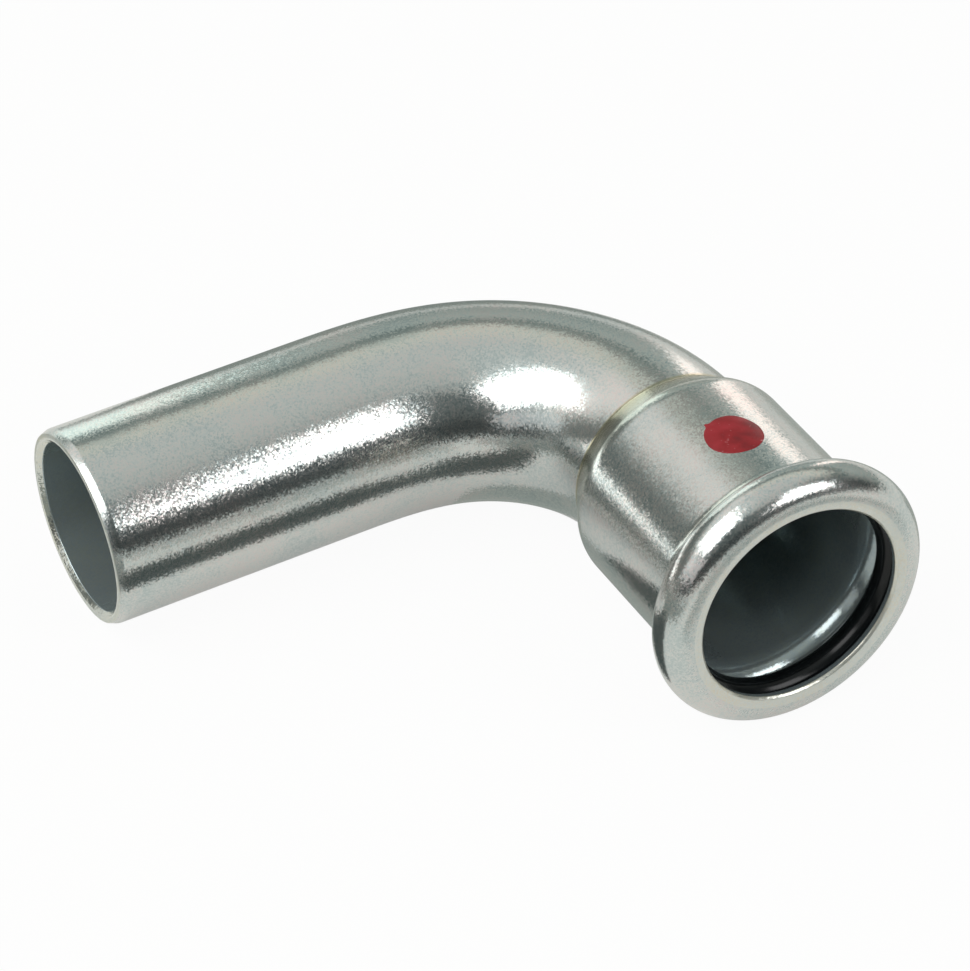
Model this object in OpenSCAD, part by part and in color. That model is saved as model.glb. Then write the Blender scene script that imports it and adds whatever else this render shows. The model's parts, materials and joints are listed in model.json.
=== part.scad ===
// Press-fit pipe elbow: one steel tube bent through a right angle, with a plain spigot at
// one end and a press socket at the other. A rolled bead at the socket's mouth holds a
// rubber seal ring, and a painted dot marks the socket.
//
// Millimetres. The elbow lies as it comes to rest on a table, on the underside of its plain
// leg and on the rim of its bead, so the socket tips up a little. +Z is up, the spigot points
// to -X, the socket opens to -Y, and the origin is on the table under the middle of the elbow.

/* [Tube] */
// Outside diameter of the tube, which is the nominal pipe size
tube_d = 22; // [18:0.5:28]
// Wall thickness of the tube
wall = 1.5; // [1.2:0.1:1.9]
// Radius of the bend, to the middle of the tube
bend_r = 23; // [18:0.5:40]
// Straight length of the plain leg, from the bend to its end
spigot_l = 36; // [28:0.5:60]
// Length of the eased edge round the outside of the plain end
spigot_ease_l = 0.9; // [0.3:0.1:2]
// Depth of the eased edge round the outside of the plain end
spigot_ease_depth = 0.35; // [0.1:0.05:0.5]
// Width of the deburred edge inside the plain end
bore_deburr = 0.5; // [0.1:0.05:0.6]

/* [Socket] */
// Gap all round between a pipe and the socket
pipe_clearance = 0.45; // [0.3:0.05:0.8]
// Half angle of the cone that widens the tube into the socket
flare_angle = 29; // [20:1:40]
// Radius that rounds the cone into the socket
flare_round = 4; // [2.5:0.5:6]
// Distance from the end of the bend to the middle of the bead
bead_at = 24.6; // [20:0.2:36]

/* [Bead and seal] */
// Thickness of the seal ring's rubber
ring_cord = 3.2; // [2.4:0.1:3.8]
// Gap all round between a pipe and the seal ring before pressing
ring_gap = 0.2; // [0.2:0.05:0.6]
// Gap all round between the seal ring and its groove
ring_seat_gap = 0.05; // [0.02:0.01:0.2]
// Wall thickness of the bead, thinned by rolling
bead_wall = 1.25; // [1:0.05:1.8]
// Radius of the hollow where the socket turns up into the bead
bead_hollow = 2; // [1:0.25:3]
// Gap all round between a pipe and the mouth
mouth_gap = 0.6; // [0.4:0.05:1]
// How far the bead's front face is dished in at the mouth
mouth_dish = 0.2; // [0:0.05:0.4]
// Width of the eased edge round the mouth
mouth_ease = 0.25; // [0.1:0.05:0.4]

/* [Painted dot] */
// Diameter of the dot
dot_d = 6.3; // [3:0.1:9]
// Thickness of the paint
dot_thickness = 0.12; // [0.08:0.02:0.3]
// Distance from the end of the bend to the middle of the dot
dot_at = 13.4; // [10:0.2:16]
// Angle of the dot from the top of the socket, away from the spigot
dot_angle = 2; // [-60:1:60]

/* [Hidden] */
$fn = 96;

// Room that a cutting shape has past the face that it opens
cut = 1;
// Angle round the tube, from the outside of the bend, at which every round face starts
seam_turn = 20;

tube_r = tube_d / 2;
bore_r = tube_r - wall;
socket_r = tube_r + pipe_clearance + wall;
mouth_r = tube_r + mouth_gap;

// The seal ring lies in the bead's groove, and the bead is rolled round both
ring_r = ring_cord / 2;
groove_r = ring_r + ring_seat_gap;
bead_section_r = groove_r + bead_wall;
ring_centre_r = tube_r + ring_gap + ring_r;
front_at = bead_at + bead_section_r;

// Middle of the radius between cone and socket, measured from the socket's axis and the bend's end
round_centre_r = socket_r - flare_round;
round_at = ((round_centre_r - tube_r) * cos(flare_angle) + flare_round) / sin(flare_angle);

// Tip of the socket at which the bead and the plain leg both touch the table
bead_reach = bend_r + bead_at;
bead_fall = atan(ring_centre_r / bead_reach);
lay_tilt = bead_fall - asin((tube_r - bead_section_r) / norm([bead_reach, ring_centre_r]));

// Middle of the laid elbow, seen from above, in the frame of its bend
far_x = bend_r + ring_centre_r + bead_section_r;
far_y = -bead_reach * cos(lay_tilt) - ring_centre_r * sin(lay_tilt) - bead_section_r;
middle_x = (far_x - spigot_l) / 2;
middle_y = (far_y + tube_r) / 2;

// Lays the elbow on the table. Its own frame has the plain leg along -X and the bend in the XY plane.
module as_it_lies() {
    translate([-middle_x, -middle_y, tube_r])
        rotate([-lay_tilt, 0, 0])
            children();
}

// Moves to the end of the bend, with +Z out along the socket
module at_socket() {
    translate([bend_r, -bend_r, 0])
        rotate([90, 0, 0])
            children();
}

// Turns a half section round the socket's axis
module round_socket() {
    at_socket()
        rotate([0, 0, seam_turn])
            rotate_extrude()
                children();
}

// Moves to the start of the bend, with +Z out along the plain leg
module at_spigot() {
    rotate([0, -90, 0])
        rotate([0, 0, 90 - seam_turn])
            children();
}

// Half section of the flare, socket and bead, with every wall moved in by inset.
// X is the distance from the socket's axis, and Y runs from the end of the bend to the mouth.
module socket_section(inset, bead_r) {
    line_r = socket_r - inset;
    start_r = tube_r - inset;
    start_at = inset * tan(flare_angle / 2);
    corner_r = flare_round - inset;
    hollow_r = bead_hollow + inset;
    hollow_centre_r = line_r + hollow_r;
    hollow_at = bead_at - sqrt(pow(bead_r + hollow_r, 2) - pow(hollow_centre_r - ring_centre_r, 2));

    // Cone and socket, up to the bead
    polygon(concat(
        [[0, 0], [start_r, 0]],
        start_at > 0 ? [[start_r, start_at]] : [],
        [
            [round_centre_r + corner_r * cos(flare_angle), round_at - corner_r * sin(flare_angle)],
            [line_r, round_at],
            [line_r, bead_at],
            [0, bead_at]
        ]
    ));
    // Radius between cone and socket
    intersection() {
        translate([round_centre_r, round_at])
            circle(corner_r);
        square([line_r, bead_at]);
    }
    // Hollow between socket and bead
    difference() {
        polygon([[0, hollow_at], [hollow_centre_r, hollow_at], [ring_centre_r, bead_at], [0, bead_at]]);
        translate([hollow_centre_r, hollow_at])
            circle(hollow_r);
    }
    // Bead, and the front that it turns into
    translate([ring_centre_r, bead_at])
        circle(bead_r);
    translate([0, bead_at])
        square([ring_centre_r, bead_r]);
}

// Half section of the hole through the bead's front, with its dished face and eased edge
module mouth_section() {
    lip_at = front_at - mouth_dish * (ring_centre_r - mouth_r - mouth_ease) / (ring_centre_r - mouth_r);
    polygon([
        [0, bead_at],
        [mouth_r, bead_at],
        [mouth_r, lip_at - mouth_ease],
        [mouth_r + mouth_ease, lip_at],
        [ring_centre_r, front_at],
        [ring_centre_r, front_at + cut],
        [0, front_at + cut]
    ]);
}

// The bent part of the tube, as a rod of radius r
module bend(r) {
    translate([0, -bend_r, 0])
        rotate_extrude(angle = 90)
            translate([bend_r, 0])
                rotate(seam_turn)
                    circle(r);
}

// The plain leg, as a rod with its eased end
module plain_leg() {
    at_spigot() {
        cylinder(h = spigot_l - spigot_ease_l, r = tube_r);
        translate([0, 0, spigot_l - spigot_ease_l])
            cylinder(h = spigot_ease_l, r1 = tube_r, r2 = tube_r - spigot_ease_depth);
    }
}

// The bore of the plain leg, with its deburred edge
module plain_leg_bore() {
    at_spigot() {
        cylinder(h = spigot_l + cut, r = bore_r);
        translate([0, 0, spigot_l - bore_deburr])
            cylinder(h = bore_deburr, r1 = bore_r, r2 = bore_r + bore_deburr);
    }
}

// The steel tube: plain leg, bend, flared socket and rolled bead in one piece
module elbow_body() {
    color("silver")
        as_it_lies()
            difference() {
                union() {
                    plain_leg();
                    bend(tube_r);
                    round_socket()
                        socket_section(0, bead_section_r);
                }
                plain_leg_bore();
                bend(bore_r);
                round_socket() {
                    socket_section(wall, groove_r);
                    mouth_section();
                }
            }
}

// The rubber seal ring in the bead's groove
module seal_ring() {
    color("#16191a")
        as_it_lies()
            round_socket()
                translate([ring_centre_r, bead_at])
                    circle(ring_r);
}

// The dot of paint on top of the socket, which follows the socket's round
module colour_dot() {
    color("#8e2a2c")
        as_it_lies()
            at_socket()
                intersection() {
                    difference() {
                        cylinder(h = bead_at, r = socket_r + dot_thickness);
                        cylinder(h = bead_at, r = socket_r);
                    }
                    rotate([0, 0, -dot_angle])
                        translate([0, 0, dot_at])
                            rotate([-90, 0, 0])
                                cylinder(h = socket_r + cut, d = dot_d);
                }
}

elbow_body();
seal_ring();
colour_dot();
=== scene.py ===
"""Looks of a press-fit pipe elbow in zinc-plated steel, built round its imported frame.

The elbow is one bent tube with a plain spigot and a beaded press socket, a rubber seal ring in
the bead and a daub of red paint on the socket. The elbow's sizes are in millimetres, and each of
its meshes is turned to metres as it is laid on the floor. The studio's sizes are in metres.
"""

import json
import logging
import math
from dataclasses import dataclass, field
from enum import Enum, IntEnum
from typing import Any, Iterator

import bmesh
import bpy
from mathutils import Matrix, Quaternion, Vector


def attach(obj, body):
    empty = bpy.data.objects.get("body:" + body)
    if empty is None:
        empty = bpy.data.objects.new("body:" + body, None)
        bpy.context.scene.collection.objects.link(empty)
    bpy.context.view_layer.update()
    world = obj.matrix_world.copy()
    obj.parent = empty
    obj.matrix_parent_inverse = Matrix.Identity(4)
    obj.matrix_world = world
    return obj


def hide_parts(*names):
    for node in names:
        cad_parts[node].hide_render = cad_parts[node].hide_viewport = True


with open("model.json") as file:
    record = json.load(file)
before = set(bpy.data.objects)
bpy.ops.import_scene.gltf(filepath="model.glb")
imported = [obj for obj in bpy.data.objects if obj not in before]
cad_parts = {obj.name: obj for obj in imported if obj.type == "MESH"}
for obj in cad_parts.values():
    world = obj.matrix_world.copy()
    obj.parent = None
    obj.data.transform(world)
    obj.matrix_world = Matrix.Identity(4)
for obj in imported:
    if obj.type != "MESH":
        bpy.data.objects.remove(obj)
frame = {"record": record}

LOG = logging.getLogger("elbow")
MM = 0.001
BODY = "root"
QUARTER = math.radians(90)
# Points of a modelled mesh that lie closer than this, in millimetres, become one
MERGE_MM = 1e-4
# The sRGB curve: its straight part, its bent part and where they meet
SRGB_KNEE = 0.04045
SRGB_SLOPE = 12.92
SRGB_OFFSET = 0.055
SRGB_POWER = 2.4
# An easing curve of length l into a bend of radius r moves the bend in by l * l / (24 * r)
EASE_SHIFT = 24.0
# Colour sockets of a Mix node, which share their names with its number sockets
MIX_A = 6
MIX_B = 7
MIX_RESULT = 2
# Watts that a square metre of softbox takes for each unit of radiance
WATTS_PER_RADIANCE = 4.0

# Places on a colour ramp, or heights of a room, with their colours
Stops = tuple[tuple[float, str], ...]
# A point of a half section: distance along the axis, and distance from it
Spot = tuple[float, float]


class Slot(Enum):
    """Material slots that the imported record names."""

    ZINC = "zinc_plated_steel"
    RUBBER = "seal_rubber"
    PAINT = "red_paint"


class Zone(IntEnum):
    """Stretches of the tube's skin, which are also its material slots in order."""

    OUTSIDE = 0
    RIM = 1
    INSIDE = 2
    CUT_END = 3


class Share(Enum):
    """Attributes of the tube's skin that its finish reads."""

    CREASE = "crease"
    SATIN = "satin"


def linear(hex_colour: str) -> tuple[float, float, float, float]:
    """Turns an sRGB hex colour into linear light.

    Args:
        hex_colour: Colour such as "#d3d6d2".

    Returns:
        Red, green, blue and an alpha of 1.
    """
    red, green, blue = (
        c / SRGB_SLOPE if c <= SRGB_KNEE else ((c + SRGB_OFFSET) / (1 + SRGB_OFFSET)) ** SRGB_POWER
        for c in (byte / 255 for byte in bytes.fromhex(hex_colour.lstrip("#")))
    )
    return (red, green, blue, 1.0)


def per_metre(size_mm: float) -> float:
    """Texture scale, on Object coordinates in metres, of a pattern whose features are size_mm wide."""
    return 1.0 / (size_mm * MM)


def add_node(
    tree: bpy.types.NodeTree,
    kind: str,
    settings: dict[str, Any] | None = None,
    inputs: dict[str | int, Any] | None = None,
) -> bpy.types.Node:
    """Adds one node with its settings, constants and links.

    Args:
        tree: Node tree that the node joins.
        kind: Blender's type name of the node.
        settings: Attributes to set on the node. A list of stops fills a Color Ramp.
        inputs: Input sockets, each with a constant or with the output socket that feeds it.

    Returns:
        The new node.
    """
    node = tree.nodes.new(kind)
    for name, value in (settings or {}).items():
        if name == "stops":
            elements = node.color_ramp.elements
            for _ in value[len(elements) :]:
                elements.new(1.0)
            for element, (position, colour) in zip(elements, value):
                element.position = position
                element.color = linear(colour)
        else:
            setattr(node, name, value)
    for socket, value in (inputs or {}).items():
        if isinstance(value, bpy.types.NodeSocket):
            tree.links.new(value, node.inputs[socket])
        else:
            node.inputs[socket].default_value = value
    return node


def new_material(name: str) -> tuple[bpy.types.Material, bpy.types.NodeTree]:
    """Makes an empty node material.

    Args:
        name: Name of the material.

    Returns:
        The material and its node tree.
    """
    material = bpy.data.materials.new(name)
    material.use_nodes = True
    material.node_tree.nodes.clear()
    return material, material.node_tree


@dataclass(frozen=True)
class ZincFinish:
    """Zinc plating on steel.

    The plating is a bright metal made of fine crystals that tilt a little each way, so highlights
    break up into sparkle at their edges. Its clear passivation leaves faint straw, pink and blue
    clouds. The crystals are drawn coarser than the real ones, so that they show.
    """

    name: str
    clouds: Stops
    crease_tint: str
    roughness: float
    satin_roughness: float
    crystal_tilt: float
    wave_mm: float
    wave_depth_mm: float
    metallic: float = 1.0
    roughness_spread: float = 0.06
    crystal_mm: float = 0.17
    crystal_tint: float = 0.35
    cloud_mm: float = 8.0
    noise_detail: float = 3.0
    noise_roughness: float = 0.6

    def material(self) -> bpy.types.Material:
        """Builds the node material.

        Returns:
            The finished material.
        """
        material, tree = new_material(self.name)
        place = add_node(tree, "ShaderNodeTexCoord").outputs["Object"]
        cloud, wave = (
            add_node(
                tree,
                "ShaderNodeTexNoise",
                inputs={
                    "Vector": place,
                    "Scale": per_metre(size),
                    "Detail": self.noise_detail,
                    "Roughness": self.noise_roughness,
                },
            ).outputs[0]
            for size in (self.cloud_mm, self.wave_mm)
        )
        crystal = add_node(
            tree, "ShaderNodeTexVoronoi", inputs={"Vector": place, "Scale": per_metre(self.crystal_mm)}
        ).outputs["Color"]
        mottle = add_node(
            tree, "ShaderNodeMix", inputs={"Factor": self.crystal_tint, "A": cloud, "B": crystal}
        ).outputs[0]
        tints = add_node(
            tree, "ShaderNodeValToRGB", settings={"stops": self.clouds}, inputs={"Fac": mottle}
        ).outputs["Color"]
        crease, satin = (
            add_node(
                tree, "ShaderNodeAttribute", settings={"attribute_name": share.value}
            ).outputs["Fac"]
            for share in (Share.CREASE, Share.SATIN)
        )
        colour = add_node(
            tree,
            "ShaderNodeMix",
            settings={"data_type": "RGBA"},
            inputs={"Factor": crease, MIX_A: tints, MIX_B: linear(self.crease_tint)},
        ).outputs[MIX_RESULT]
        sheen = add_node(
            tree,
            "ShaderNodeMapRange",
            inputs={"Value": satin, "To Min": self.roughness, "To Max": self.satin_roughness},
        ).outputs[0]
        gloss = add_node(
            tree,
            "ShaderNodeMath",
            settings={"operation": "MULTIPLY_ADD"},
            inputs={0: crystal, 1: self.roughness_spread, 2: sheen},
        ).outputs[0]
        bump = add_node(
            tree, "ShaderNodeBump", inputs={"Distance": self.wave_depth_mm * MM, "Height": wave}
        ).outputs[0]
        middle_grey = (0.5,) * 3
        lean = add_node(
            tree,
            "ShaderNodeVectorMath",
            settings={"operation": "SUBTRACT"},
            inputs={0: crystal, 1: middle_grey},
        ).outputs[0]
        tilted = add_node(
            tree,
            "ShaderNodeVectorMath",
            settings={"operation": "MULTIPLY_ADD"},
            inputs={0: lean, 1: (self.crystal_tilt,) * 3, 2: bump},
        ).outputs[0]
        normal = add_node(
            tree, "ShaderNodeVectorMath", settings={"operation": "NORMALIZE"}, inputs={0: tilted}
        ).outputs[0]
        shader = add_node(
            tree,
            "ShaderNodeBsdfPrincipled",
            inputs={
                "Base Color": colour,
                "Metallic": self.metallic,
                "Roughness": gloss,
                "Normal": normal,
            },
        )
        add_node(tree, "ShaderNodeOutputMaterial", inputs={"Surface": shader.outputs[0]})
        return material


@dataclass(frozen=True)
class RubberFinish:
    """Moulded black seal rubber.

    It is smooth and slightly greasy, so it shows long soft highlights and almost no colour.
    """

    name: str
    specks: Stops
    roughness: float
    ior: float = 1.36
    speck_mm: float = 0.5
    speck_depth_mm: float = 0.004
    noise_detail: float = 3.0

    def material(self) -> bpy.types.Material:
        """Builds the node material.

        Returns:
            The finished material.
        """
        material, tree = new_material(self.name)
        place = add_node(tree, "ShaderNodeTexCoord").outputs["Object"]
        speck = add_node(
            tree,
            "ShaderNodeTexNoise",
            inputs={"Vector": place, "Scale": per_metre(self.speck_mm), "Detail": self.noise_detail},
        ).outputs[0]
        colour = add_node(
            tree, "ShaderNodeValToRGB", settings={"stops": self.specks}, inputs={"Fac": speck}
        ).outputs["Color"]
        bump = add_node(
            tree, "ShaderNodeBump", inputs={"Distance": self.speck_depth_mm * MM, "Height": speck}
        ).outputs[0]
        shader = add_node(
            tree,
            "ShaderNodeBsdfPrincipled",
            inputs={"Base Color": colour, "Roughness": self.roughness, "IOR": self.ior, "Normal": bump},
        )
        add_node(tree, "ShaderNodeOutputMaterial", inputs={"Surface": shader.outputs[0]})
        return material


@dataclass(frozen=True)
class LacquerFinish:
    """Red lacquer daubed on with a felt tip.

    The daub is thin, so the colour is patchy, deeper where it pooled and paler where it ran thin,
    with a few bare specks, and it keeps a soft gloss.
    """

    name: str
    patches: Stops
    bare: str
    bare_from: float
    bare_to: float
    roughness: float
    ior: float = 1.45
    patch_mm: float = 2.4
    speck_mm: float = 0.45
    speck_depth_mm: float = 0.01
    noise_detail: float = 2.0

    def material(self) -> bpy.types.Material:
        """Builds the node material.

        Returns:
            The finished material.
        """
        material, tree = new_material(self.name)
        place = add_node(tree, "ShaderNodeTexCoord").outputs["Object"]
        patch, speck = (
            add_node(
                tree,
                "ShaderNodeTexNoise",
                inputs={"Vector": place, "Scale": per_metre(size), "Detail": self.noise_detail},
            ).outputs[0]
            for size in (self.patch_mm, self.speck_mm)
        )
        paint = add_node(
            tree, "ShaderNodeValToRGB", settings={"stops": self.patches}, inputs={"Fac": patch}
        ).outputs["Color"]
        bare = add_node(
            tree,
            "ShaderNodeMapRange",
            inputs={"Value": speck, "From Min": self.bare_from, "From Max": self.bare_to},
        ).outputs[0]
        colour = add_node(
            tree,
            "ShaderNodeMix",
            settings={"data_type": "RGBA"},
            inputs={"Factor": bare, MIX_A: paint, MIX_B: linear(self.bare)},
        ).outputs[MIX_RESULT]
        bump = add_node(
            tree, "ShaderNodeBump", inputs={"Distance": self.speck_depth_mm * MM, "Height": speck}
        ).outputs[0]
        shader = add_node(
            tree,
            "ShaderNodeBsdfPrincipled",
            inputs={"Base Color": colour, "Roughness": self.roughness, "IOR": self.ior, "Normal": bump},
        )
        add_node(tree, "ShaderNodeOutputMaterial", inputs={"Surface": shader.outputs[0]})
        return material


# Electroplated bright zinc on drawn tube: a silvery mirror, softened and sparkling, with faint clouds
BRIGHT_ZINC = ZincFinish(
    name="bright_zinc_plating",
    clouds=((0.34, "#c0c9c8"), (0.46, "#d0d5d3"), (0.55, "#d8d8d4"), (0.68, "#dcd5d2")),
    crease_tint="#c6b98c",
    roughness=0.155,
    satin_roughness=0.28,
    crystal_tilt=0.072,
    wave_mm=1.5,
    wave_depth_mm=0.012,
)
# The same plating where the rollers rubbed the rim: a pale, even satin with a straw edge
RIM_ZINC = ZincFinish(
    name="satin_zinc_plating_on_the_rolled_rim",
    clouds=((0.3, "#d6dad6"), (0.5, "#dcddd7"), (0.7, "#dfd8c8")),
    crease_tint="#d8cda0",
    roughness=0.28,
    satin_roughness=0.28,
    crystal_tilt=0.16,
    wave_mm=1.0,
    wave_depth_mm=0.035,
    metallic=0.85,
)
# Thin plating deep in the tube: a dull blue-grey, darker than the outside, partly for the thin dull
# plating and partly as painted shade inside the tube, so it shows the light at the mouth only dimly
BORE_ZINC = ZincFinish(
    name="dull_zinc_plating_in_the_bore",
    clouds=((0.3, "#9fadb2"), (0.5, "#aab5b7"), (0.7, "#aeb7b1")),
    crease_tint="#aab5b7",
    roughness=0.14,
    satin_roughness=0.14,
    crystal_tilt=0.04,
    wave_mm=1.5,
    wave_depth_mm=0.006,
    metallic=0.69,
)
# Plating over the sawn and deburred end: a bright, uneven edge with a matt face
CUT_ZINC = ZincFinish(
    name="zinc_plating_on_the_sawn_end",
    clouds=((0.3, "#d0d6d2"), (0.5, "#dfe1db"), (0.7, "#e3e0d0")),
    crease_tint="#dfe1db",
    roughness=0.12,
    satin_roughness=0.4,
    crystal_tilt=0.12,
    wave_mm=1.2,
    wave_depth_mm=0.1,
)
# Moulded seal rubber: near black, with long soft highlights
SEAL_RUBBER = RubberFinish(
    name="moulded_black_rubber", specks=((0.35, "#0b0d0e"), (0.75, "#141718")), roughness=0.2
)
# Lacquer from a felt tip: a patchy deep red with a soft gloss
RED_LACQUER = LacquerFinish(
    name="daubed_red_lacquer",
    patches=((0.3, "#6f0d15"), (0.5, "#8c131c"), (0.72, "#9d222c")),
    bare="#c9868a",
    bare_from=0.68,
    bare_to=0.8,
    roughness=0.36,
)


@dataclass(frozen=True)
class Lay:
    """How the elbow lies on the floor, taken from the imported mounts.

    The classes below model the elbow in the frame of its bend: the plain leg runs along -X from the
    origin, and the socket along -Y from the bend's end.
    """

    bend_start: Vector
    tip_up: float

    @classmethod
    def from_record(cls, record: dict[str, Any], bend_r: float) -> "Lay":
        """Reads the lay from the record's spigot and socket.

        Args:
            record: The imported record.
            bend_r: Radius of the bend, in millimetres.

        Returns:
            The elbow's lay.
        """
        mounts = {mount["name"]: mount for mount in record["mounts"]}
        spigot = mounts["spigot"]["pos_m"]
        socket = mounts["socket"]
        return cls(
            bend_start=Vector((socket["pos_m"][0] - bend_r * MM, spigot[1], spigot[2])),
            tip_up=math.asin(socket["axis"][2]),
        )

    def matrix(self) -> Matrix:
        """Transform from the bend's frame in millimetres to the row's frame in metres."""
        turn = Matrix.Rotation(-self.tip_up, 4, "X")
        return Matrix.Translation(self.bend_start) @ turn @ Matrix.Scale(MM, 4)


def finish_mesh(
    shape: bmesh.types.BMesh,
    name: str,
    lay: Lay,
    finishes: list[bpy.types.Material],
    sharp_angle: float,
) -> bpy.types.Object:
    """Closes a modelled mesh, lays it on the floor and makes it a piece that rides on the part.

    Args:
        shape: The modelled shape, in millimetres in the bend's frame.
        name: Name of the piece.
        lay: How the elbow lies.
        finishes: Materials in the order of the faces' material numbers.
        sharp_angle: Angle in degrees from which an edge stays sharp.

    Returns:
        The new object.
    """
    bmesh.ops.remove_doubles(shape, verts=shape.verts, dist=MERGE_MM)
    bmesh.ops.recalc_face_normals(shape, faces=shape.faces)
    bmesh.ops.transform(shape, matrix=lay.matrix(), verts=shape.verts)
    mesh = bpy.data.meshes.new(name)
    shape.to_mesh(mesh)
    shape.free()
    mesh.shade_smooth()
    mesh.set_sharp_from_angle(angle=math.radians(sharp_angle))
    for material in finishes:
        mesh.materials.append(material)
    piece = bpy.data.objects.new(name, mesh)
    bpy.context.scene.collection.objects.link(piece)
    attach(piece, BODY)
    return piece


@dataclass(frozen=True)
class Point:
    """A point of a half section: distance along the axis, distance from it, and the skin's finish.

    The finish is the zone of the skin that ends at the point, and how far the point shares the
    straw tint of a crease and the satin of a rubbed face.
    """

    at: float
    radius: float
    zone: Zone = Zone.OUTSIDE
    crease: float = 0.0
    satin: float = 0.0


@dataclass(frozen=True)
class Station:
    """One ring of a skin: the frame that it lies in, and its point in the half section."""

    place: Matrix
    point: Point


@dataclass
class SkinWalk:
    """Extrudes one ring of edges from station to station and leaves a skin behind it."""

    segments: int
    shape: bmesh.types.BMesh = field(default_factory=bmesh.new)

    def mark(self, verts: list[bmesh.types.BMVert], point: Point) -> None:
        """Writes a point's shares of crease and satin on a ring.

        Args:
            verts: The ring's vertices.
            point: The point that they lie at.
        """
        for share, value in ((Share.CREASE, point.crease), (Share.SATIN, point.satin)):
            layer = self.shape.verts.layers.float[share.value]
            for vert in verts:
                vert[layer] = value

    def along(self, stations: Iterator[Station]) -> bmesh.types.BMesh:
        """Walks a ring through the stations.

        Args:
            stations: The rings, in order.

        Returns:
            The skin, open at its first and last ring.
        """
        for share in Share:
            self.shape.verts.layers.float.new(share.value)
        last = next(stations)
        made = bmesh.ops.create_circle(
            self.shape, segments=self.segments, radius=last.point.radius, matrix=last.place
        )
        self.mark(made["verts"], last.point)
        ring = list({edge for vert in made["verts"] for edge in vert.link_edges})
        for station in stations:
            grown = bmesh.ops.extrude_edge_only(self.shape, edges=ring)["geom"]
            verts = [item for item in grown if isinstance(item, bmesh.types.BMVert)]
            fresh = set(verts)
            edges = [item for item in grown if isinstance(item, bmesh.types.BMEdge)]
            ring = [edge for edge in edges if fresh.issuperset(edge.verts)]
            widen = Matrix.Scale(station.point.radius / last.point.radius, 4)
            step = station.place @ widen @ last.place.inverted()
            bmesh.ops.transform(self.shape, matrix=step, verts=verts)
            self.mark(verts, station.point)
            for item in grown:
                if isinstance(item, bmesh.types.BMFace):
                    item.material_index = int(station.point.zone)
            last = station
        return self.shape


def ring_place(middle: Vector, turn: float) -> Matrix:
    """Frame of a ring across the tube.

    Args:
        middle: Middle of the ring, in the bend's frame.
        turn: Angle that the tube has turned since the leg, in radians.

    Returns:
        A frame with its Z axis along the tube.
    """
    across = Matrix.Rotation(QUARTER, 4, "Y")
    return Matrix.Translation(middle) @ Matrix.Rotation(-turn, 4, "Z") @ across


def arc(centre: Spot, radius: float, start: float, end: float, steps: int) -> list[Spot]:
    """Points of an arc in a half section.

    Args:
        centre: Middle of the arc.
        radius: Radius of the arc.
        start: Angle of the first point in degrees, from the direction along the axis.
        end: Angle of the last point in degrees.
        steps: Number of steps between them.

    Returns:
        The arc's points in order.
    """
    angles = [math.radians(start + (end - start) * i / steps) for i in range(steps + 1)]
    return [(centre[0] + radius * math.cos(a), centre[1] + radius * math.sin(a)) for a in angles]


def eased(before: Spot, corner: Spot, after: Spot, run: float, steps: int = 5) -> list[Spot]:
    """Rounds a corner of a half section.

    Args:
        before: A point on the line that comes to the corner.
        corner: The corner.
        after: A point on the line that leaves it.
        run: Distance from the corner at which the round starts and ends.
        steps: Number of steps in the round.

    Returns:
        Points of the round.
    """
    middle = Vector(corner)
    start = middle + (Vector(before) - middle).normalized() * run
    end = middle + (Vector(after) - middle).normalized() * run
    shares = [i / steps for i in range(steps + 1)]
    return [tuple(start * (1 - t) ** 2 + middle * 2 * t * (1 - t) + end * t**2) for t in shares]


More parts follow.
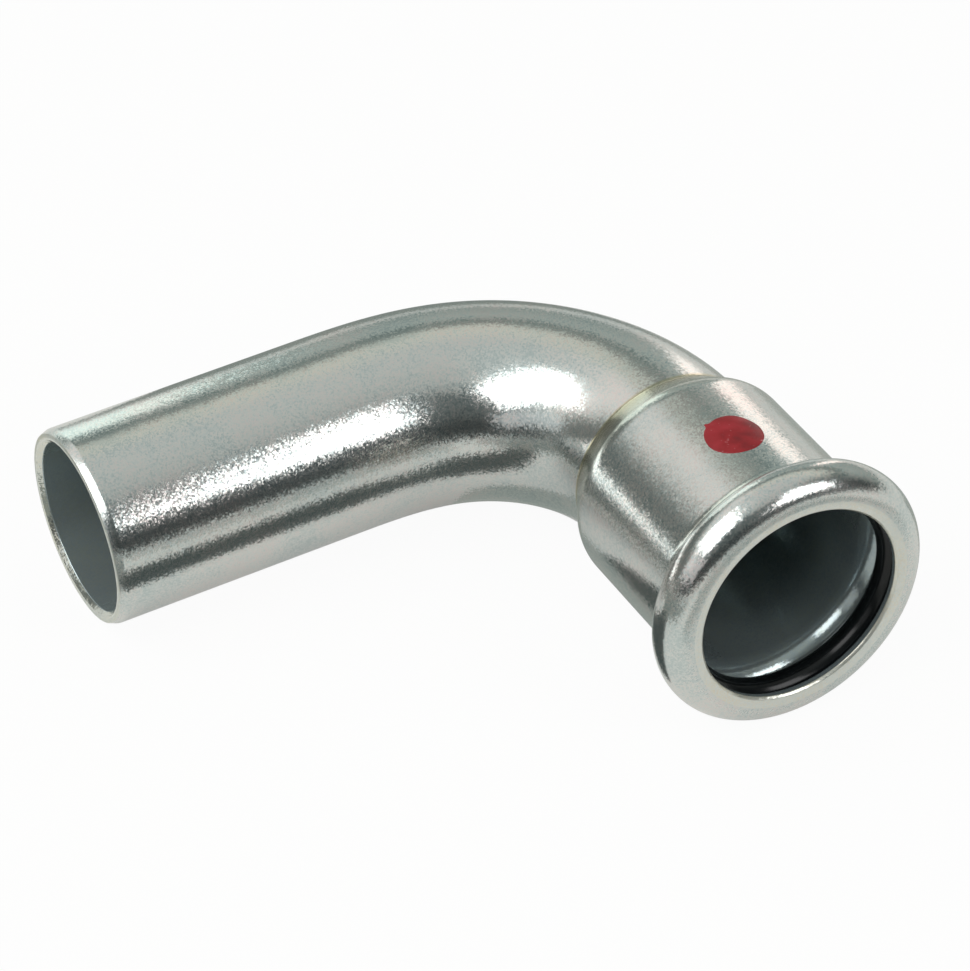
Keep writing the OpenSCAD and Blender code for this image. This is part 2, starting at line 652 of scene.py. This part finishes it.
@dataclass
class ElbowTube:
    """The steel tube: plain leg, bend, flared socket and rolled bead, as one closed skin."""

    tube_r: float
    wall: float = 1.5
    bend_r: float = 23.0
    bend_ease_l: float = 15.0
    spigot_l: float = 36.0
    spigot_ease_l: float = 0.9
    spigot_ease_depth: float = 0.35
    bore_deburr: float = 0.5
    pipe_clearance: float = 0.45
    flare_angle: float = 29.0
    flare_round: float = 4.0
    flare_root: float = 0.8
    bead_at: float = 24.6
    ring_cord: float = 3.2
    ring_gap: float = 0.2
    ring_seat_gap: float = 0.05
    bead_wall: float = 1.25
    bead_hollow: float = 2.0
    mouth_gap: float = 0.6
    mouth_dish: float = 0.2
    mouth_ease: float = 0.25
    edge_ease: float = 0.08
    shoulder_ease: float = 0.16
    throat_ease: float = 0.5
    # Shares of straw tint in the creases, and of satin on the rubbed faces
    root_crease: float = 0.6
    shoulder_crease: float = 0.25
    bead_crease: float = 0.5
    bead_crease_fade: float = 3.0
    mouth_crease: float = 0.3
    socket_satin: float = 0.2
    satin_from: float = 0.72
    # Steps of the skin round the tube, along its bend and through the arcs of its section
    segments: int = 160
    bend_steps: int = 72
    root_steps: int = 5
    shoulder_steps: int = 14
    hollow_steps: int = 10
    bead_steps: int = 40
    groove_steps: int = 32
    stop_steps: int = 8
    sharp_angle: float = 40.0

    @property
    def bore_r(self) -> float:
        """Inside radius of the tube."""
        return self.tube_r - self.wall

    @property
    def socket_r(self) -> float:
        """Outside radius of the socket."""
        return self.tube_r + self.pipe_clearance + self.wall

    @property
    def mouth_r(self) -> float:
        """Radius of the hole in the bead's front."""
        return self.tube_r + self.mouth_gap

    @property
    def ring_centre_r(self) -> float:
        """Distance of the seal ring's and the bead's middle from the socket's axis."""
        return self.tube_r + self.ring_gap + self.ring_cord / 2

    @property
    def groove_r(self) -> float:
        """Radius of the groove's section."""
        return self.ring_cord / 2 + self.ring_seat_gap

    @property
    def bead_section_r(self) -> float:
        """Radius of the bead's section."""
        return self.groove_r + self.bead_wall

    @property
    def bead_centre(self) -> Spot:
        """Middle of the bead's section, from the bend's end."""
        return self.bead_at, self.ring_centre_r

    @property
    def round_centre(self) -> Spot:
        """Middle of the radius between cone and socket.

        Returns:
            Its distance from the bend's end, and its distance from the axis.
        """
        slope = math.radians(self.flare_angle)
        centre_r = self.socket_r - self.flare_round
        rise = (centre_r - self.tube_r) * math.cos(slope)
        return (rise + self.flare_round) / math.sin(slope), centre_r

    @property
    def cut_r(self) -> float:
        """Outside radius of the cut face at the plain end."""
        return self.tube_r - self.spigot_ease_depth

    @property
    def face_middle(self) -> Spot:
        """Middle of the cut face at the plain end, from the bend's start."""
        return self.spigot_l, (self.bore_r + self.bore_deburr + self.cut_r) / 2

    def leg_place(self, at: float) -> Matrix:
        """Frame of a ring on the plain leg, at a distance from the bend's start."""
        return ring_place(Vector((-at, 0, 0)), 0.0)

    def socket_place(self, at: float) -> Matrix:
        """Frame of a ring on the socket, at a distance from the bend's end."""
        return ring_place(Vector((self.bend_r, -self.bend_r - at, 0)), QUARTER)

    def bend_places(self) -> list[Matrix]:
        """Frames of the rings through the bend, which starts gently on the leg, as a drawn bend does.

        Returns:
            The frames in order, from the straight leg to the bend's end.
        """
        shift = self.bend_ease_l**2 / (EASE_SHIFT * self.bend_r)
        length = (self.bend_r - shift) * QUARTER + self.bend_ease_l / 2
        step = length / self.bend_steps
        shares = [min(1.0, (i + 0.5) * step / self.bend_ease_l) for i in range(self.bend_steps)]
        turns = [QUARTER * share / sum(shares) for share in shares]
        ahead = [sum(turns[:i]) for i in range(self.bend_steps + 1)]
        middle = Vector((self.bend_r, -self.bend_r, 0))
        places = [ring_place(middle, QUARTER)]
        for i in reversed(range(self.bend_steps)):
            heading = ahead[i] + turns[i] / 2
            middle = middle - step * Vector((math.cos(heading), -math.sin(heading), 0))
            places.append(ring_place(middle, ahead[i]))
        return places[::-1]

    def hollow(self, inset: float, bead_r: float) -> tuple[Spot, float, float]:
        """Hollow where the socket turns up into the bead.

        Args:
            inset: Distance of the wall inside the socket's outside.
            bead_r: Radius of the bead's section at that wall.

        Returns:
            The hollow's middle, its radius, and the angle in degrees at which it meets the bead.
        """
        radius = self.bead_hollow + inset
        middle_r = self.socket_r - inset + radius
        rise = middle_r - self.ring_centre_r
        run = math.sqrt((bead_r + radius) ** 2 - rise**2)
        return (self.bead_at - run, middle_r), radius, -math.degrees(math.atan2(rise, run))

    def spigot_end(self) -> list[Point]:
        """Half section of the plain end.

        Returns:
            Points from the middle of the cut face to the leg.
        """
        face, edge = self.face_middle, (self.spigot_l, self.cut_r)
        shoulder = (self.spigot_l - self.spigot_ease_l, self.tube_r)
        rim = [face] + eased(face, edge, shoulder, self.edge_ease)
        side = eased(edge, shoulder, (0, self.tube_r), self.shoulder_ease)
        points = [Point(*spot, Zone.CUT_END, satin=1.0) for spot in rim]
        return points + [Point(*spot) for spot in side]

    def bore_end(self) -> list[Point]:
        """Half section of the deburred bore.

        Returns:
            Points from the leg's bore back to the middle of the cut face.
        """
        face, edge = self.face_middle, (self.spigot_l, self.bore_r + self.bore_deburr)
        start = (self.spigot_l - self.bore_deburr, self.bore_r)
        bore = eased((0, self.bore_r), start, edge, self.edge_ease)
        rim = eased(start, edge, face, self.edge_ease)
        points = [Point(*spot, Zone.INSIDE) for spot in bore]
        points += [Point(*spot, Zone.CUT_END) for spot in rim]
        return points + [Point(*face, Zone.CUT_END, satin=1.0)]

    def socket_outside(self) -> list[Point]:
        """Half section of the flare, the socket and the bead.

        Returns:
            Points from the bend's end to the bead's front.
        """
        slope = self.flare_angle
        root_run = self.flare_root * math.tan(math.radians(slope / 2))
        root_centre = (-root_run, self.tube_r + self.flare_root)
        root = arc(root_centre, self.flare_root, -90, slope - 90, self.root_steps)
        shoulder = arc(self.round_centre, self.flare_round, 90 + slope, 90, self.shoulder_steps)
        hollow_centre, hollow_r, meet = self.hollow(0.0, self.bead_section_r)
        hollow = arc(hollow_centre, hollow_r, -90, meet, self.hollow_steps)
        bead = arc(self.bead_centre, self.bead_section_r, 180 + meet, 0, self.bead_steps)
        points = [Point(*spot, crease=self.root_crease) for spot in root]
        for i, spot in enumerate(shoulder):
            share = i / self.shoulder_steps
            crease = self.shoulder_crease * (1 - share)
            points.append(Point(*spot, crease=crease, satin=self.socket_satin * share))
        for i, spot in enumerate(hollow):
            share = i / self.hollow_steps
            satin = self.socket_satin * (1 - share)
            points.append(Point(*spot, crease=self.bead_crease * share, satin=satin))
        for i, spot in enumerate(bead[1:], start=1):
            share = i / self.bead_steps
            crease = max(0.0, self.bead_crease - self.bead_crease_fade * share)
            satin = max(0.0, (share - self.satin_from) / (1 - self.satin_from))
            points.append(Point(*spot, crease=crease, satin=satin))
        return points

    def mouth(self) -> list[Point]:
        """Half section of the dished front face and the mouth.

        Returns:
            Points from the bead's front to the groove.
        """
        front = (self.bead_at + self.bead_section_r, self.ring_centre_r)
        dish_run = self.ring_centre_r - self.mouth_r
        lip_at = front[0] - self.mouth_dish * (dish_run - self.mouth_ease) / dish_run
        lip = (lip_at, self.mouth_r + self.mouth_ease)
        throat = (lip_at - self.mouth_ease, self.mouth_r)
        back_edge = (self.bead_at + self.groove_r, self.mouth_r)
        rim = eased(front, lip, throat, self.edge_ease)
        rim += eased(lip, throat, back_edge, self.edge_ease)
        inner = eased(throat, back_edge, (back_edge[0], self.ring_centre_r), self.throat_ease)
        points = []
        for i, spot in enumerate(rim):
            points.append(Point(*spot, Zone.RIM, crease=self.mouth_crease * i / len(rim)))
        return points + [Point(*spot, Zone.INSIDE) for spot in inner]

    def socket_inside(self) -> list[Point]:
        """Half section of the groove, the socket's bore and the cone that stops the pipe.

        Returns:
            Points from the mouth to the bend's end.
        """
        slope = self.flare_angle
        hollow_centre, hollow_r, meet = self.hollow(self.wall, self.groove_r)
        groove = arc(self.bead_centre, self.groove_r, 0, 180 + meet, self.groove_steps)
        turn_in = arc(hollow_centre, hollow_r, meet, -90, self.hollow_steps)
        stop_r = self.flare_round - self.wall
        stop = arc(self.round_centre, stop_r, 90, 90 + slope, self.stop_steps)
        start = (self.wall * math.tan(math.radians(slope / 2)), self.bore_r)
        outline = groove + turn_in[1:] + stop + [start]
        return [Point(*spot, Zone.INSIDE) for spot in outline]

    def stations(self) -> Iterator[Station]:
        """Rings of the whole skin: out along the tube, round the mouth and back through the bore.

        Yields:
            The rings in order, from the middle of the cut face round to it again.
        """
        for point in self.spigot_end():
            yield Station(self.leg_place(point.at), point)
        bend = self.bend_places()
        for place in bend[:-1]:
            yield Station(place, Point(0, self.tube_r))
        for point in self.socket_outside() + self.mouth() + self.socket_inside():
            yield Station(self.socket_place(point.at), point)
        for place in reversed(bend):
            yield Station(place, Point(0, self.bore_r, Zone.INSIDE))
        for point in self.bore_end():
            yield Station(self.leg_place(point.at), point)

    def build(self, lay: Lay) -> bpy.types.Object:
        """Models the tube and dresses it.

        Args:
            lay: How the elbow lies.

        Returns:
            The piece that stands for the CAD tube.
        """
        skin = SkinWalk(self.segments).along(self.stations())
        finishes = [finish.material() for finish in (BRIGHT_ZINC, RIM_ZINC, BORE_ZINC, CUT_ZINC)]
        piece = finish_mesh(skin, "elbow_tube", lay, finishes, self.sharp_angle)
        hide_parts("elbow_body")
        return piece


@dataclass
class SealRing:
    """The rubber ring in the bead's groove."""

    tube: ElbowTube
    section_segments: int = 40
    turns: int = 160
    sharp_angle: float = 60.0

    def build(self, lay: Lay) -> bpy.types.Object:
        """Models the ring and dresses it.

        Args:
            lay: How the elbow lies.

        Returns:
            The piece that stands for the CAD ring.
        """
        shape = bmesh.new()
        axis_place = self.tube.socket_place(self.tube.bead_at)
        section_place = (
            axis_place
            @ Matrix.Translation((self.tube.ring_centre_r, 0, 0))
            @ Matrix.Rotation(QUARTER, 4, "X")
        )
        made = bmesh.ops.create_circle(
            shape, segments=self.section_segments, radius=self.tube.ring_cord / 2, matrix=section_place
        )
        edges = list({edge for vert in made["verts"] for edge in vert.link_edges})
        bmesh.ops.spin(
            shape,
            geom=made["verts"] + edges,
            cent=axis_place.translation,
            axis=axis_place.col[2].xyz,
            angle=math.tau,
            steps=self.turns,
            use_merge=True,
        )
        piece = finish_mesh(shape, "seal_o_ring", lay, [SEAL_RUBBER.material()], self.sharp_angle)
        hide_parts("seal_ring")
        return piece


@dataclass
class PaintDot:
    """The daub of red paint on top of the socket."""

    tube: ElbowTube
    dot_d: float = 6.3
    thickness: float = 0.12
    dot_at: float = 13.4
    dot_angle: float = 2.0
    # Waves in the edge: each one's share, its count round the daub and its start in radians
    waver: float = 0.06
    waves: tuple[tuple[float, int, float], ...] = ((0.5, 2, 0.6), (0.3, 5, 2.1), (0.2, 8, 0.0))
    tail: float = 0.4
    tail_turn: float = 122.0
    tail_spread: float = 0.07
    # How full the paint is at its very edge, and how fast it swells from there
    edge_fullness: float = 0.05
    edge_swell: float = 3.0
    middle_share: float = 0.02
    segments: int = 120
    rings: int = 12
    sharp_angle: float = 60.0

    def edge_radius(self, turn: float) -> float:
        """Radius of the daub, which wavers a little and has the small tail that a felt tip leaves.

        Args:
            turn: Angle round the daub, in radians.

        Returns:
            The radius at that angle.
        """
        wave = sum(share * math.sin(count * turn + start) for share, count, start in self.waves)
        away = math.remainder(turn - math.radians(self.tail_turn), math.tau)
        tail = self.tail * math.exp(-((away / self.tail_spread) ** 2))
        return self.dot_d / 2 + self.waver * wave + tail

    def flat_rings(self) -> Iterator[Station]:
        """Rings of the daub as a flat lens, whose edge has a radius of 1.

        Yields:
            The rings in order, from the middle of its back to the middle of its front.
        """
        span = 1 - self.middle_share
        for i in range(self.rings + 1):
            share = self.middle_share + span * i / self.rings
            yield Station(Matrix.Identity(4), Point(0, share))
        for i in range(1, self.rings + 1):
            share = 1 - span * (1 - math.cos(QUARTER * i / self.rings))
            fullness = min(1.0, self.edge_swell * (1 - share) + self.edge_fullness)
            rise = self.thickness * math.sqrt(fullness)
            yield Station(Matrix.Translation((0, 0, rise)), Point(0, share))

    def on_socket(self, point: Vector) -> Vector:
        """Lays one point of the flat lens on the socket's round.

        Args:
            point: The point, with its height in millimetres.

        Returns:
            Its place in the bend's frame.
        """
        base = self.tube.socket_place(self.dot_at)
        reach = self.edge_radius(math.atan2(point.y, point.x))
        angle = math.radians(self.dot_angle) + point.x * reach / self.tube.socket_r
        out = Vector((math.sin(angle), 0, math.cos(angle)))
        along = base.col[2].xyz * (point.y * reach)
        return base.translation - along + out * (self.tube.socket_r + point.z)

    def build(self, lay: Lay) -> bpy.types.Object:
        """Models the daub and dresses it.

        Args:
            lay: How the elbow lies.

        Returns:
            The piece that stands for the CAD dot.
        """
        lens = SkinWalk(self.segments).along(self.flat_rings())
        rims = [edge for edge in lens.edges if edge.is_boundary]
        bmesh.ops.holes_fill(lens, edges=rims, sides=0)
        for vert in lens.verts:
            vert.co = self.on_socket(vert.co)
        piece = finish_mesh(lens, "paint_daub", lay, [RED_LACQUER.material()], self.sharp_angle)
        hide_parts("colour_dot")
        return piece


@dataclass(frozen=True)
class Softbox:
    """A flat studio light that the metal shows as a white patch.

    It faces the elbow from the direction `toward`, at a distance, and is moved along its own width.
    """

    name: str
    toward: tuple[float, float, float]
    across: tuple[float, float, float]
    width: float
    height: float
    radiance: float
    distance: float = 0.7
    shift: float = 0.0
    colour: str = "#ffffff"

    def build(self) -> bpy.types.Object:
        """Places the light.

        Returns:
            The light.
        """
        away = Vector(self.toward).normalized()
        side = Vector(self.across).normalized()
        lamp = bpy.data.lights.new(self.name, "AREA")
        lamp.shape = "RECTANGLE"
        lamp.size = self.width
        lamp.size_y = self.height
        lamp.energy = WATTS_PER_RADIANCE * self.radiance * self.width * self.height
        lamp.color = linear(self.colour)[:3]
        light = bpy.data.objects.new(self.name, lamp)
        light.rotation_mode = "QUATERNION"
        light.rotation_quaternion = Matrix((side, away.cross(side), away)).transposed().to_quaternion()
        light.location = away * self.distance + side * self.shift
        light.visible_camera = False
        bpy.context.scene.collection.objects.link(light)
        return light


def at_heights(stops: Stops) -> Stops:
    """Turns heights of the room in degrees above the horizon into places on a ramp over Z.

    Args:
        stops: Height in degrees and colour of each stop.

    Returns:
        The stops, with Z from -1 to 1 as a place from 0 to 1.
    """
    return tuple(((math.sin(math.radians(height)) + 1) / 2, colour) for height, colour in stops)


def white_share(
    tree: bpy.types.NodeTree, camera_share: float, metal_share: float
) -> bpy.types.NodeSocket:
    """Share of plain white that a ray takes from the background.

    Args:
        tree: Node tree of the floor or the room.
        camera_share: Share for the camera's own rays.
        metal_share: Share for glossy and transmission rays, so that the metal shows that white too.

    Returns:
        The share, as a node's output.
    """
    rays = add_node(tree, "ShaderNodeLightPath").outputs
    mirrored = add_node(
        tree, "ShaderNodeMath", inputs={0: rays["Is Glossy Ray"], 1: rays["Is Transmission Ray"]}
    ).outputs[0]
    metal = add_node(
        tree, "ShaderNodeMath", settings={"operation": "MULTIPLY"}, inputs={0: mirrored, 1: metal_share}
    ).outputs[0]
    return add_node(
        tree,
        "ShaderNodeMath",
        settings={"operation": "MULTIPLY_ADD"},
        inputs={0: rays["Is Camera Ray"], 1: camera_share, 2: metal},
    ).outputs[0]


def lay_sheet(
    name: str,
    middle: tuple[float, float, float],
    size: tuple[float, float],
    material: bpy.types.Material,
) -> bpy.types.Object:
    """Lays a flat sheet of the studio, which isn't part of the elbow.

    Args:
        name: Name of the sheet.
        middle: Its middle.
        size: Its size along X and Y.
        material: What it is made of.

    Returns:
        The sheet.
    """
    shape = bmesh.new()
    place = Matrix.Translation(middle) @ Matrix.Diagonal((size[0] / 2, size[1] / 2, 1, 1))
    bmesh.ops.create_grid(shape, x_segments=1, y_segments=1, size=1, matrix=place)
    mesh = bpy.data.meshes.new(name)
    shape.to_mesh(mesh)
    shape.free()
    mesh.materials.append(material)
    sheet = bpy.data.objects.new(name, mesh)
    bpy.context.scene.collection.objects.link(sheet)
    return sheet


@dataclass(frozen=True)
class PaintedShadeStrip:
    """A strip of painted shade on the floor: a faint grey glow that only the metal shows in its
    reflections.
    """

    name: str
    middle: tuple[float, float]
    size: tuple[float, float]
    colour: str
    lift: float = 0.0005

    def build(self) -> bpy.types.Object:
        """Lays the strip.

        Returns:
            The strip.
        """
        # The strip is painted shade: it glows grey, is unseen by the camera, lights nothing and casts no
        # shadow
        material, tree = new_material("grey_card")
        card = add_node(tree, "ShaderNodeEmission", inputs={"Color": linear(self.colour)})
        add_node(tree, "ShaderNodeOutputMaterial", inputs={"Surface": card.outputs[0]})
        flag = lay_sheet(self.name, (*self.middle, self.lift), self.size, material)
        flag.visible_camera = False
        flag.visible_diffuse = False
        flag.visible_shadow = False
        return flag


@dataclass
class Studio:
    """The pale floor, the strips of painted shade on it, the softboxes and the room that the metal
    shows.
    """

    floor_size: float = 8.0
    paper: str = "#e3e3de"
    floor_white: float = 0.95
    floor_white_in_metal: float = 0.26
    room_white: float = 1.0
    room_white_in_metal: float = 0.03
    # Strips of painted shade that only the metal shows: painted shadow in the crook and under the bend's
    # inner side, and darker patches of floor round the elbow
    shade_strips: tuple[PaintedShadeStrip, ...] = (
        PaintedShadeStrip(name="crook_flag", middle=(-0.0225, -0.0135), size=(0.053, 0.025), colour="#555b59"),
        PaintedShadeStrip(name="bend_flag", middle=(0.0085, 0.0), size=(0.009, 0.028), colour="#a0a6a1"),
        PaintedShadeStrip(name="left_flag", middle=(-0.275, 0.0), size=(0.45, 0.3), colour="#8f948f"),
        PaintedShadeStrip(name="back_flag", middle=(0.031, 0.0975), size=(0.09, 0.105), colour="#8a928d"),
        PaintedShadeStrip(name="right_flag", middle=(0.066, 0.012), size=(0.044, 0.068), colour="#aeb3ad"),
        PaintedShadeStrip(name="front_flag", middle=(0.04, -0.13), size=(0.1, 0.14), colour="#b2b6b1"),
    )
    softboxes: tuple[Softbox, ...] = (
        Softbox(
            name="front_softbox",
            toward=(0.0, -0.629, 0.777),
            across=(0.966, -0.201, -0.163),
            distance=0.6,
            width=0.38,
            height=0.32,
            radiance=3.0,
            shift=0.36,
        ),
        Softbox(
            name="left_softbox",
            toward=(-0.585, 0.0, 0.811),
            across=(0.0, 1.0, 0.0),
            width=0.72,
            height=0.38,
            radiance=2.3,
            shift=-0.04,
        ),
        Softbox(
            name="left_fill",
            toward=(-0.896, -0.24, 0.375),
            across=(0.259, -0.966, 0.0),
            width=0.76,
            height=0.2,
            radiance=0.45,
        ),
        Softbox(
            name="right_strip",
            toward=(0.715, 0.675, 0.14),
            across=(-0.68, 0.72, 0.0),
            width=0.08,
            height=0.32,
            radiance=1.1,
            colour="#ffece6",
        ),
        Softbox(
            name="back_card",
            toward=(0.05, 0.998, 0.05),
            across=(-0.999, 0.05, 0.0),
            width=0.3,
            height=0.5,
            radiance=0.75,
            colour="#f4fff8",
        ),
    )
    # What the metal shows at each height of the room, in degrees: grey walls with darker bands, and a
    # pale ceiling
    front_room: Stops = (
        (0, "#656c6a"),
        (4, "#242b2b"),
        (18, "#242b2b"),
        (28, "#4f5655"),
        (52, "#646b6a"),
        (64, "#bac0bd"),
    )
    right_room: Stops = (
        (0, "#939e99"),
        (26, "#b0bab5"),
        (30, "#6f7b77"),
        (37, "#737f7b"),
        (41, "#dedfd4"),
        (50, "#d9dbd1"),
        (62, "#cbd0cd"),
    )
    left_room: Stops = (
        (0, "#7d807b"),
        (6, "#6f736f"),
        (17, "#666c69"),
        (23, "#8b918d"),
        (28, "#cdd0cb"),
        (35, "#f2f0ec"),
        (45, "#f2f0ec"),
        (62, "#d2d7d4"),
    )
    # Where the left side of the room turns into the right, over X, and the front into the back, over Y
    side_blend: tuple[float, float] = (-0.12, 0.12)
    depth_blend: tuple[float, float] = (-0.45, 0.2)

    def floor(self) -> bpy.types.Object:
        """Lays the floor, which keeps the elbow's soft shadow and is white to the camera.

        Returns:
            The floor.
        """
        material, tree = new_material("matt_white_paper")
        share = white_share(tree, self.floor_white, self.floor_white_in_metal)
        paper = add_node(tree, "ShaderNodeBsdfDiffuse", inputs={"Color": linear(self.paper)})
        glow = add_node(tree, "ShaderNodeEmission", inputs={"Strength": 1.0})
        mix = add_node(
            tree, "ShaderNodeMixShader", inputs={0: share, 1: paper.outputs[0], 2: glow.outputs[0]}
        )
        add_node(tree, "ShaderNodeOutputMaterial", inputs={"Surface": mix.outputs[0]})
        return lay_sheet("floor", (0, 0, 0), (self.floor_size, self.floor_size), material)

    def room(self) -> bpy.types.World:
        """Makes the world: white to the camera, and a room of pale and dark heights to the elbow.

        Returns:
            The world.
        """
        world = bpy.data.worlds.new("studio_room")
        world.use_nodes = True
        tree = world.node_tree
        tree.nodes.clear()
        direction = add_node(tree, "ShaderNodeTexCoord").outputs["Generated"]
        x, y, z = add_node(tree, "ShaderNodeSeparateXYZ", inputs={0: direction}).outputs
        height = add_node(tree, "ShaderNodeMapRange", inputs={"Value": z, "From Min": -1.0}).outputs[0]
        front, right, left = (
            add_node(
                tree, "ShaderNodeValToRGB", settings={"stops": at_heights(stops)}, inputs={"Fac": height}
            ).outputs["Color"]
            for stops in (self.front_room, self.right_room, self.left_room)
        )
        rightward, behind = (
            add_node(
                tree,
                "ShaderNodeMapRange",
                settings={"interpolation_type": "SMOOTHSTEP"},
                inputs={"Value": value, "From Min": low, "From Max": high},
            ).outputs[0]
            for value, (low, high) in ((x, self.side_blend), (y, self.depth_blend))
        )
        back = add_node(
            tree,
            "ShaderNodeMix",
            settings={"data_type": "RGBA"},
            inputs={"Factor": rightward, MIX_A: left, MIX_B: right},
        ).outputs[MIX_RESULT]
        walls = add_node(
            tree,
            "ShaderNodeMix",
            settings={"data_type": "RGBA"},
            inputs={"Factor": behind, MIX_A: front, MIX_B: back},
        ).outputs[MIX_RESULT]
        share = white_share(tree, self.room_white, self.room_white_in_metal)
        room = add_node(tree, "ShaderNodeBackground", inputs={"Color": walls, "Strength": 1.0})
        white = add_node(tree, "ShaderNodeBackground", inputs={"Color": (1, 1, 1, 1), "Strength": 1.0})
        mix = add_node(
            tree, "ShaderNodeMixShader", inputs={0: share, 1: room.outputs[0], 2: white.outputs[0]}
        )
        add_node(tree, "ShaderNodeOutputWorld", inputs={"Surface": mix.outputs[0]})
        bpy.context.scene.world = world
        return world

    def build(self) -> None:
        """Builds the floor, the room, the lights and the strips of painted shade."""
        self.floor()
        self.room()
        for item in (*self.softboxes, *self.shade_strips):
            item.build()


@dataclass(frozen=True)
class Viewpoint:
    """The camera at the photograph's viewing angle."""

    aim_mm: tuple[float, float, float] = (1.193, 0.466, 16.619)
    azimuth: float = -29.162
    elevation: float = 44.103
    roll: float = 0.645
    distance_mm: float = 457.02
    lens_mm: float = 160.89
    sensor_mm: float = 36.0
    clip_start_mm: float = 10.0

    def build(self) -> bpy.types.Object:
        """Places the camera and makes it the scene's.

        Returns:
            The camera.
        """
        turn = math.radians(self.azimuth)
        rise = math.radians(self.elevation)
        level = math.cos(rise)
        back = Vector((math.sin(turn) * level, -math.cos(turn) * level, math.sin(rise)))
        data = bpy.data.cameras.new("camera")
        data.lens = self.lens_mm
        data.sensor_width = self.sensor_mm
        data.sensor_fit = "HORIZONTAL"
        data.clip_start = self.clip_start_mm * MM
        camera = bpy.data.objects.new("camera", data)
        camera.location = (Vector(self.aim_mm) + back * self.distance_mm) * MM
        camera.rotation_mode = "QUATERNION"
        spin = Quaternion((0, 0, 1), math.radians(self.roll))
        camera.rotation_quaternion = (-back).to_track_quat("-Z", "Y") @ spin
        bpy.context.scene.collection.objects.link(camera)
        bpy.context.scene.camera = camera
        return camera


def main() -> None:
    """Builds the studio, the camera and the pieces, and logs how many faces each piece has."""
    logging.basicConfig(level=logging.INFO, format="%(name)s: %(message)s")
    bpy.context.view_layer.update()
    bpy.context.scene.view_settings.view_transform = "Standard"
    Viewpoint().build()
    Studio().build()
    record = frame["record"]
    spigot = next(mount for mount in record["mounts"] if mount["name"] == "spigot")
    tube = ElbowTube(tube_r=spigot["dims"]["r_mm"])
    lay = Lay.from_record(record, tube.bend_r)
    for maker in (tube, SealRing(tube), PaintDot(tube)):
        piece = maker.build(lay)
        LOG.info("%s: %d faces", piece.name, len(piece.data.polygons))


if __name__ == "__main__":
    main()
